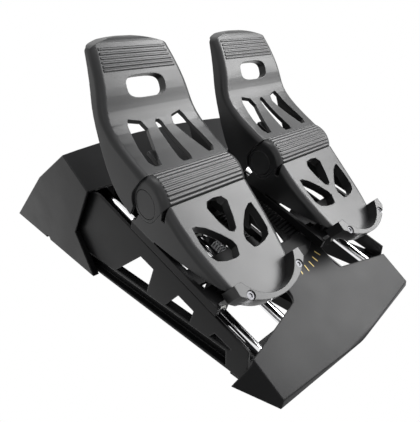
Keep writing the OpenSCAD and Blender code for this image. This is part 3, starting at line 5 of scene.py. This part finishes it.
import bmesh
import bpy
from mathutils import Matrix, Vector


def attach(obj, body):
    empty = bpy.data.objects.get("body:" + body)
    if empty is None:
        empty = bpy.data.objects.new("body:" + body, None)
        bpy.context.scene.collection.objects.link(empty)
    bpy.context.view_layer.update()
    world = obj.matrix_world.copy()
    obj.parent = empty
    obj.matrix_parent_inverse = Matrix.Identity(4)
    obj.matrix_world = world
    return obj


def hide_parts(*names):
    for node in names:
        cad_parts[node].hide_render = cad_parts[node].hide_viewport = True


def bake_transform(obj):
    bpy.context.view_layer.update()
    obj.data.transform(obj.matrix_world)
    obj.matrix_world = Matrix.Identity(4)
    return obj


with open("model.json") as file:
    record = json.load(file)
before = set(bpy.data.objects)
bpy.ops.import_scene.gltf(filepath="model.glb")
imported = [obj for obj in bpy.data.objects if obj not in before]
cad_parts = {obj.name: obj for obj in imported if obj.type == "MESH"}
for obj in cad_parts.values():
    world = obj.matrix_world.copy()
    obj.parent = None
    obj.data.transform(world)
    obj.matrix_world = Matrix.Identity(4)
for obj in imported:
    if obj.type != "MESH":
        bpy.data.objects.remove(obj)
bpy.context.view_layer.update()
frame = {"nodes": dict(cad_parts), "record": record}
nodes = frame["nodes"]
slot_of = {part["node"]: part["material_slot"] for part in frame["record"]["subparts"]}
body_of = {node: body for body, names in frame["record"]["behaviour"]["bodies"].items() for node in names}

MM = 0.001
SIDES = ("left", "right")
WHITE = (1, 1, 1, 1)
# Points that lie nearer to each other than this are one point
SAME_POINT = 0.01 * MM


# Materials

# A moulded surface drifts this much in tone and in roughness, at this many swells a metre
TONE_DRIFT = 0.12
GLOSS_DRIFT = 0.035
DRIFT_SCALE = 22.0
# Painted highlight on edges: an edge is lighter by a factor and a lift. It is also smoother by this much
# roughness, as if polished by use
EDGE_HIGHLIGHT_FACTOR = 2.1
EDGE_HIGHLIGHT_LIFT = 0.02
EDGE_POLISH = 0.22
# Product of the rounded and the true normal at a full edge, and where the surface counts as flat
SHARP_TURN = 0.80
FLAT_TURN = 0.995
EDGE_SAMPLES = 6
GRAIN_HEIGHT = 0.06 * MM
PLASTIC_IOR = 1.5
# Darkest streak of a metal, as a factor of its colour
STREAK_DARK = 0.9


def new_material(name):
    """A material with its node tree and its shader; the record's slot name is kept with it."""
    mat = bpy.data.materials.new(name + "_finish")
    mat["slot"] = name
    mat.use_nodes = True
    return mat, mat.node_tree, mat.node_tree.nodes["Principled BSDF"]


def scaled(colour, factor, lift=0.0):
    """The colour times a factor, plus a lift, no brighter than white."""
    return tuple(min(1.0, channel * factor + lift) for channel in colour)


def ramp(tree, source, low, high, from_low=0.3, from_high=0.7):
    """The source value, spread from its own range to low and high; noise mostly lies from 0.3 to 0.7."""
    node = tree.nodes.new("ShaderNodeMapRange")
    node.inputs["From Min"].default_value = from_low
    node.inputs["From Max"].default_value = from_high
    node.inputs["To Min"].default_value = low
    node.inputs["To Max"].default_value = high
    tree.links.new(source, node.inputs["Value"])
    return node.outputs["Result"]


def object_coords(tree, stretch=None):
    """Object coordinates, times a factor along each axis where stretch is given."""
    coords = tree.nodes.new("ShaderNodeTexCoord").outputs["Object"]
    if stretch is None:
        return coords
    scale = tree.nodes.new("ShaderNodeVectorMath")
    scale.operation = "MULTIPLY"
    scale.inputs[1].default_value = stretch
    tree.links.new(coords, scale.inputs[0])
    return scale.outputs["Vector"]


def noise(tree, coords, scale, detail, rough):
    """Noise from 0 to 1, with scale swells to a unit of the coordinates."""
    node = tree.nodes.new("ShaderNodeTexNoise")
    node.inputs["Scale"].default_value = scale
    node.inputs["Detail"].default_value = detail
    node.inputs["Roughness"].default_value = rough
    tree.links.new(coords, node.inputs["Vector"])
    return node.outputs["Fac"]


def mix_colour(tree, factor, first, second):
    """A mix of two colours; each is a colour or the output of another node."""
    node = tree.nodes.new("ShaderNodeMix")
    node.data_type = "RGBA"
    tree.links.new(factor, node.inputs["Factor"])
    colours = [s for s in node.inputs if s.type == "RGBA"]
    for socket, colour in zip(colours, (first, second)):
        if isinstance(colour, tuple):
            socket.default_value = (*colour, 1)
        else:
            tree.links.new(colour, socket)
    return [s for s in node.outputs if s.type == "RGBA"][0]


def edge_mask(tree, radius, gain):
    """A mask that reaches gain where the surface turns sharply within radius, and the rounded normal."""
    bevel = tree.nodes.new("ShaderNodeBevel")
    bevel.samples = EDGE_SAMPLES
    bevel.inputs["Radius"].default_value = radius
    surface = tree.nodes.new("ShaderNodeNewGeometry")
    turn = tree.nodes.new("ShaderNodeVectorMath")
    turn.operation = "DOT_PRODUCT"
    tree.links.new(bevel.outputs["Normal"], turn.inputs[0])
    tree.links.new(surface.outputs["Normal"], turn.inputs[1])
    return ramp(tree, turn.outputs["Value"], gain, 0.0, SHARP_TURN, FLAT_TURN), bevel.outputs["Normal"]


def moulded(name, colour, rough, grain_mm, bump, edge_mm, edge_gain, specular):
    """Moulded or painted surface: fine grain, slow drift of tone and gloss, edges made smoother as if
    polished by use, and a painted highlight that lightens the edges.
    """
    mat, tree, shader = new_material(name)
    coords = object_coords(tree)
    grain = noise(tree, coords, scale=1.0 / (grain_mm * MM), detail=3.0, rough=0.6)
    drift = noise(tree, coords, scale=DRIFT_SCALE, detail=3.0, rough=0.55)
    # Mask of sharp edges: it carries a painted highlight into the colour and extra polish into the roughness
    edge_highlight_and_polish, rounded = edge_mask(tree, edge_mm * MM, edge_gain)
    tone = mix_colour(tree, ramp(tree, drift, 0.0, 1.0), scaled(colour, 1 - TONE_DRIFT),
                      scaled(colour, 1 + TONE_DRIFT))
    # Painted highlight: the colour is lighter along sharp edges
    lit = mix_colour(tree, edge_highlight_and_polish, tone, scaled(colour, EDGE_HIGHLIGHT_FACTOR, EDGE_HIGHLIGHT_LIFT))
    tree.links.new(lit, shader.inputs["Base Color"])
    gloss = tree.nodes.new("ShaderNodeMath")
    gloss.operation = "MULTIPLY_ADD"
    gloss.inputs[1].default_value = -EDGE_POLISH
    tree.links.new(edge_highlight_and_polish, gloss.inputs[0])
    tree.links.new(ramp(tree, drift, rough - GLOSS_DRIFT, rough + GLOSS_DRIFT), gloss.inputs[2])
    tree.links.new(gloss.outputs["Value"], shader.inputs["Roughness"])
    grit = tree.nodes.new("ShaderNodeBump")
    grit.inputs["Strength"].default_value = bump
    grit.inputs["Distance"].default_value = GRAIN_HEIGHT
    tree.links.new(grain, grit.inputs["Height"])
    tree.links.new(rounded, grit.inputs["Normal"])
    tree.links.new(grit.outputs["Normal"], shader.inputs["Normal"])
    shader.inputs["IOR"].default_value = PLASTIC_IOR
    shader.inputs["Specular IOR Level"].default_value = specular
    return mat


def metal(name, colour, rough, stretch=(1, 300, 300), streak=0.05):
    """Ground, drawn or plated metal: streaks along X in tone and gloss, unless stretch sets another grain."""
    mat, tree, shader = new_material(name)
    lines = noise(tree, object_coords(tree, stretch), scale=9.0, detail=4.0, rough=0.6)
    tone = mix_colour(tree, ramp(tree, lines, 0.0, 1.0), scaled(colour, STREAK_DARK), colour)
    tree.links.new(tone, shader.inputs["Base Color"])
    tree.links.new(ramp(tree, lines, rough - streak, rough + streak), shader.inputs["Roughness"])
    shader.inputs["Metallic"].default_value = 1.0
    return mat


MATERIALS = {mat["slot"]: mat for mat in (
    moulded("pedal_plastic", (0.014, 0.0142, 0.0148), rough=0.34,
            grain_mm=0.3, bump=0.12, edge_mm=0.9, edge_gain=0.55, specular=0.27),
    moulded("base_plastic", (0.006, 0.0061, 0.0065), rough=0.36,
            grain_mm=0.35, bump=0.15, edge_mm=1.8, edge_gain=0.9, specular=0.09),
    moulded("inner_plastic", (0.005, 0.005, 0.0054), rough=0.45,
            grain_mm=0.4, bump=0.1, edge_mm=0.8, edge_gain=0.4, specular=0.12),
    metal("rail_steel", (0.86, 0.86, 0.87), rough=0.08, stretch=(60, 8, 8), streak=0.02),
    metal("pin_steel", (0.5, 0.5, 0.51), rough=0.3),
    metal("spring_steel", (0.42, 0.42, 0.43), rough=0.32),
    metal("screw_steel", (0.05, 0.05, 0.053), rough=0.34),
    moulded("rocker_paint", (0.03, 0.03, 0.032), rough=0.42,
            grain_mm=0.6, bump=0.2, edge_mm=0.8, edge_gain=0.15, specular=0.4),
    moulded("foot_rubber", (0.02, 0.02, 0.02), rough=0.72,
            grain_mm=0.6, bump=0.3, edge_mm=0.8, edge_gain=0.1, specular=0.3),
    moulded("bush_plastic", (0.6, 0.6, 0.56), rough=0.45,
            grain_mm=0.5, bump=0.1, edge_mm=0.5, edge_gain=0.05, specular=0.5),
    metal("bush_bronze", (0.6, 0.42, 0.22), rough=0.38),
    moulded("mark_ink", (0.62, 0.47, 0.14), rough=0.42,
            grain_mm=0.2, bump=0.1, edge_mm=0.2, edge_gain=0.02, specular=0.4),
    moulded("board_green", (0.03, 0.15, 0.08), rough=0.3,
            grain_mm=2.0, bump=0.1, edge_mm=0.3, edge_gain=0.1, specular=0.5),
    moulded("sensor_black", (0.02, 0.02, 0.022), rough=0.4,
            grain_mm=0.4, bump=0.1, edge_mm=0.5, edge_gain=0.2, specular=0.4),
    metal("magnet_grey", (0.36, 0.36, 0.38), rough=0.24))}

for name, obj in nodes.items():
    finish = MATERIALS[slot_of[name]]
    if obj.material_slots:
        for slot in obj.material_slots:
            slot.material = finish
    else:
        obj.data.materials.append(finish)


# Pieces with rolled edges

# Faces that differ by less than this many degrees are joined into one
SAME_FACE = 1.0
# An edge is rolled where its faces turn by more than the first angle, and stays sharp past the second
ROLL_ANGLE = 32
SHARP_ANGLE = 34
# How much more a large face counts than a small one where their normals meet
FACE_WEIGHT = 100
# Screw heads: their tops point up at least this much, and their rims are rolled by this width
HEAD_UP = 0.3
HEAD_ROLL_MM = 0.25
HEAD_ANGLE = 40
HEX = 6


def apply_modifiers(obj):
    """Makes the modified form the piece's own mesh."""
    evaluated = obj.evaluated_get(bpy.context.evaluated_depsgraph_get())
    mesh = bpy.data.meshes.new_from_object(evaluated)
    obj.modifiers.clear()
    old, obj.data = obj.data, mesh
    bpy.data.meshes.remove(old)


def copy_of(node):
    """A copy of a node's form, with its double points merged and its flat faces joined."""
    obj = bpy.data.objects.new(node + "_finished", nodes[node].data.copy())
    bpy.context.collection.objects.link(obj)
    obj.data.materials.clear()
    obj.data.materials.append(MATERIALS[slot_of[node]])
    bm = bmesh.new()
    bm.from_mesh(obj.data)
    bmesh.ops.remove_doubles(bm, verts=bm.verts, dist=SAME_POINT)
    bmesh.ops.dissolve_limit(bm, angle_limit=math.radians(SAME_FACE), verts=bm.verts, edges=bm.edges)
    bm.to_mesh(obj.data)
    bm.free()
    return obj


def roll_edges(obj, width_mm, angle, segments=2, miter="MITER_SHARP"):
    """Rolls the edges that turn by more than angle."""
    roll = obj.modifiers.new("roll", "BEVEL")
    roll.width = width_mm * MM
    roll.segments = segments
    roll.limit_method = "ANGLE"
    roll.angle_limit = math.radians(angle)
    roll.miter_outer = miter
    apply_modifiers(obj)


def hand_over(obj, node):
    """The piece stands for the node, with its motion and its finish."""
    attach(obj, body_of[node])
    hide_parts(node)


def finished(node, width_mm=0.6, segments=2):
    """The node's own form with its edges rolled, and shaded so that flat faces stay flat."""
    obj = copy_of(node)
    roll_edges(obj, width_mm, ROLL_ANGLE, segments, "MITER_ARC")
    for face in obj.data.polygons:
        face.use_smooth = True
    obj.data.set_sharp_from_angle(angle=math.radians(SHARP_ANGLE))
    flat = obj.modifiers.new("flat", "WEIGHTED_NORMAL")
    flat.mode = "FACE_AREA"
    flat.weight = FACE_WEIGHT
    flat.keep_sharp = True
    apply_modifiers(obj)
    hand_over(obj, node)


def loose_parts(mesh):
    """The point numbers of each separate part of a mesh."""
    links = {v.index: set() for v in mesh.vertices}
    for edge in mesh.edges:
        a, b = edge.vertices
        links[a].add(b)
        links[b].add(a)
    parts, seen = [], set()
    for start in links:
        if start in seen:
            continue
        part, queue = set(), [start]
        while queue:
            point = queue.pop()
            if point not in part:
                part.add(point)
                queue.extend(links[point] - part)
        seen |= part
        parts.append(part)
    return parts


def hex_prism(middle, axis, across, depth, first):
    """Points and faces of a six-sided prism, depth long to each side of middle, numbered from first."""
    side = axis.orthogonal().normalized()
    other = axis.cross(side)
    radius = across / math.sqrt(3)
    points = []
    for lift in (-depth, depth):
        for k in range(HEX):
            a = math.radians(360 / HEX * k)
            points.append(middle + axis * lift + radius * (math.cos(a) * side + math.sin(a) * other))
    faces = [[first + k for k in reversed(range(HEX))], [first + HEX + k for k in range(HEX)]]
    for k in range(HEX):
        after = (k + 1) % HEX
        faces.append([first + k, first + after, first + HEX + after, first + HEX + k])
    return points, faces


def socketed(node, across_mm, depth_mm):
    """Screws with a six-sided socket sunk into each head."""
    obj = copy_of(node)
    top = max((p for p in obj.data.polygons if p.normal.z > HEAD_UP), key=lambda p: p.area)
    axis = top.normal.copy()
    points, faces = [], []
    for part in loose_parts(obj.data):
        places = [obj.data.vertices[i].co for i in part]
        reach = max(place.dot(axis) for place in places)
        rim = [place for place in places if place.dot(axis) > reach - SAME_POINT]
        middle = sum(rim, Vector()) / len(rim)
        new_points, new_faces = hex_prism(middle, axis, across_mm * MM, depth_mm * MM, len(points))
        points += new_points
        faces += new_faces
    mesh = bpy.data.meshes.new(node + "_sockets")
    mesh.from_pydata(points, [], faces)
    cutter = bpy.data.objects.new(node + "_sockets", mesh)
    bpy.context.collection.objects.link(cutter)
    cut = obj.modifiers.new("cut", "BOOLEAN")
    cut.operation = "DIFFERENCE"
    cut.object = cutter
    apply_modifiers(obj)
    bpy.data.objects.remove(cutter)
    roll_edges(obj, HEAD_ROLL_MM, HEAD_ANGLE)
    hand_over(obj, node)


for side in SIDES:
    for part in ("toe_plate", "heel_plate", "hinge_barrel", "heel_stop", "carriage", "pivot_caps",
                 "hinge_pin"):
        finished(side + "_" + part)
    socketed(side + "_heel_stop_screws", across_mm=3.2, depth_mm=0.8)
for part in ("side_frame_left", "side_frame_right", "centre_deck", "rocker_arm", "rail_left_outer",
             "rail_left_inner", "rail_right_inner", "rail_right_outer"):
    finished(part)
finished("front_plate", width_mm=1.0)
finished("rear_housing", width_mm=1.3, segments=3)


def stretching(node):
    """A copy of the spring with its placement baked into its points, shown in place of the node; it is
    attached to no body and does not stretch.
    """
    spring = copy_of(node)
    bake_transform(spring)
    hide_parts(node)


for side in SIDES:
    stretching("centring_spring_" + side)


# Floor and backdrop: white to the camera and in reflections, lit paper and a dim room to other rays

FLOOR_HALF = 30.0
# The floor lies this far under the object, so that the two never share a face
FLOOR_SINK = 0.4 * MM
FLOOR_COLOUR = (0.62, 0.62, 0.62)
FLOOR_DARK = 0.97
FLOOR_ROUGH = 0.9
ROOM_COLOUR = (0.5, 0.5, 0.5, 1)
ROOM_STRENGTH = 0.5


def white_seen(tree, lit, glow):
    """A mix that shows the plain white glow to camera, glossy and transmission rays, and lit to the rest."""
    path = tree.nodes.new("ShaderNodeLightPath")
    seen = path.outputs["Is Camera Ray"]
    for ray in ("Is Glossy Ray", "Is Transmission Ray"):
        either = tree.nodes.new("ShaderNodeMath")
        either.operation = "MAXIMUM"
        tree.links.new(seen, either.inputs[0])
        tree.links.new(path.outputs[ray], either.inputs[1])
        seen = either.outputs["Value"]
    mix = tree.nodes.new("ShaderNodeMixShader")
    tree.links.new(seen, mix.inputs["Fac"])
    tree.links.new(lit, mix.inputs[1])
    tree.links.new(glow, mix.inputs[2])
    return mix.outputs["Shader"]


def floor_paper():
    """Pale paper with fine fibres, which glows white to the camera."""
    paper, tree, shader = new_material("floor_paper")
    fibre = noise(tree, object_coords(tree), scale=900.0, detail=2.0, rough=0.5)
    tone = mix_colour(tree, ramp(tree, fibre, 0.0, 1.0), scaled(FLOOR_COLOUR, FLOOR_DARK), FLOOR_COLOUR)
    tree.links.new(tone, shader.inputs["Base Color"])
    shader.inputs["Roughness"].default_value = FLOOR_ROUGH
    glow = tree.nodes.new("ShaderNodeEmission")
    glow.inputs["Color"].default_value = WHITE
    tree.links.new(white_seen(tree, shader.outputs["BSDF"], glow.outputs["Emission"]),
                   tree.nodes["Material Output"].inputs["Surface"])
    return paper


floor_mesh = bpy.data.meshes.new("floor")
floor_mesh.from_pydata([(x, y, 0) for x, y in ((-1, -1), (1, -1), (1, 1), (-1, 1))], [], [(0, 1, 2, 3)])
floor = bpy.data.objects.new("floor", floor_mesh)
bpy.context.collection.objects.link(floor)
floor.scale = (FLOOR_HALF, FLOOR_HALF, 1)
floor.location.z = -FLOOR_SINK
floor_mesh.materials.append(floor_paper())

world = bpy.data.worlds.new("studio")
bpy.context.scene.world = world
world.use_nodes = True
tree = world.node_tree
room = tree.nodes["Background"]
room.inputs["Color"].default_value = ROOM_COLOUR
room.inputs["Strength"].default_value = ROOM_STRENGTH
white = tree.nodes.new("ShaderNodeBackground")
white.inputs["Color"].default_value = WHITE
tree.links.new(white_seen(tree, room.outputs["Background"], white.outputs["Background"]),
               tree.nodes["World Output"].inputs["Surface"])


# Lamps and camera

# The middle of the object, which every lamp faces
AIM = Vector((0, 0, 0.09))
CAMERA_PLACE = (-0.3102, -0.3594, 0.2763)
# Degrees from straight down, and degrees about the vertical from looking along +Y
CAMERA_TILT = 64.36
CAMERA_TURN = -44.51
SENSOR_WIDTH = 36.0
FOCAL_LENGTH = 36.0


def softbox(name, place, width, height, power):
    """A rectangular lamp that faces the object, with its size in metres and its power in watts."""
    light = bpy.data.lights.new(name, "AREA")
    light.shape = "RECTANGLE"
    light.size = width
    light.size_y = height
    light.energy = power
    lamp = bpy.data.objects.new(name, light)
    bpy.context.collection.objects.link(lamp)
    lamp.location = place
    lamp.rotation_euler = (AIM - Vector(place)).to_track_quat("-Z", "Y").to_euler()


softbox("right_bank", place=(1.1, -0.95, 1.0), width=0.9, height=0.9, power=46.0)
softbox("high_bank", place=(1.0, -0.4, 1.45), width=0.45, height=0.45, power=19.0)
softbox("top_strip", place=(-0.25, 0.15, 1.6), width=0.5, height=0.9, power=8.0)
softbox("left_fill", place=(-1.4, -0.7, 0.7), width=0.8, height=0.8, power=1.5)

camera = bpy.data.cameras.new("camera")
camera.sensor_fit = "HORIZONTAL"
camera.sensor_width = SENSOR_WIDTH
camera.lens = FOCAL_LENGTH
view = bpy.data.objects.new("camera", camera)
bpy.context.collection.objects.link(view)
view.location = CAMERA_PLACE
view.rotation_euler = (math.radians(CAMERA_TILT), 0, math.radians(CAMERA_TURN))
bpy.context.scene.camera = view
bpy.context.scene.view_settings.view_transform = "Standard"
